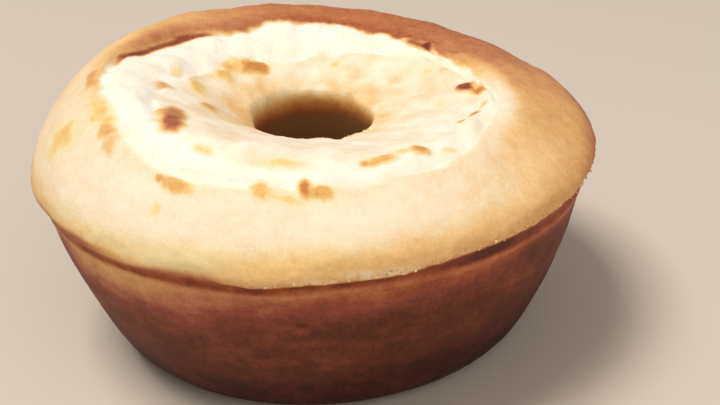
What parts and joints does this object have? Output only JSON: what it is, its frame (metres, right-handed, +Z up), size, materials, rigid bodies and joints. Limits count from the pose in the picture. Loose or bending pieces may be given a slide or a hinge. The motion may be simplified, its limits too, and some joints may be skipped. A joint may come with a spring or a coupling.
{
  "type": "cornmeal cake",
  "caption": "Round cornmeal ring cake with a risen, split golden top, a ragged lip over a tapered brown side, and a hole through its middle.",
  "frame": {"origin": "middle of the cake's bounding box at its underside, on the surface it stands on, below the middle of its hole", "axes": "+Z up through the hole, -Y towards the side that the picture shows, +X to the right of that side"},
  "size_m": [0.2359, 0.2361, 0.1196],
  "materials": {
    "crust": "dry baked crust, golden on top and brown at the side"
  },
  "bodies": {
    "root": {"cake": "crust"}
  },
  "joints": []
}
